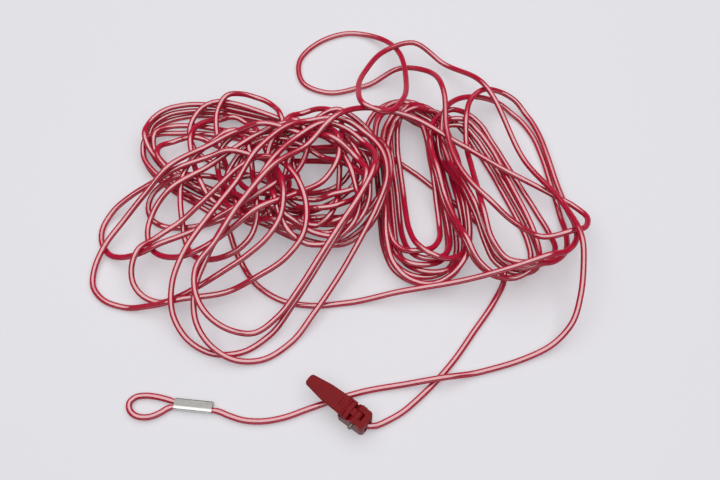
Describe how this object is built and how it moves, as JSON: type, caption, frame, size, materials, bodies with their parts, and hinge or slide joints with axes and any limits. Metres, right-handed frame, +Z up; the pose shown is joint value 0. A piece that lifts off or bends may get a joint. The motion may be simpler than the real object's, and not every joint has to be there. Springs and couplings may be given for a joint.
{
  "type": "washing line with clamp",
  "caption": "Plastic-covered washing line lying in a loose heap, with a crimped eye at its end and a moulded cam-lever line clamp near its tail.",
  "frame": {"origin": "on the table plane, at the underside of the clamp body, under the clamp's pivot", "axes": "+Z up from the table, +X to the right in the picture, +Y away from the camera"},
  "size_m": [0.3381, 0.3285, 0.0573],
  "materials": {
    "line_cover": "glossy soft plastic cover",
    "line_core": "twisted fibre",
    "sleeve_metal": "satin pressed sheet",
    "clamp_plastic": "glossy moulded plastic",
    "pin_steel": "drawn wire"
  },
  "bodies": {
    "base": {"clamp_body": "clamp_plastic", "pivot_pin": "pin_steel", "line_tail": "line_cover", "right_coil": "line_cover", "floor_run": "line_cover", "left_coil": "line_cover", "top_run": "line_cover", "line_lead": "line_cover", "line_eye": "line_cover", "core_ends": "line_core", "crimp_sleeve": "sleeve_metal"},
    "lever": {"clamp_lever": "clamp_plastic"}
  },
  "joints": [
    {"name": "lever_pivot", "type": "hinge", "parent": "base", "child": "lever", "pos_m": [0, 0, 0.00973], "axis": [0.6018, 0.7986, 0], "range_deg": [0, 90]}
  ]
}
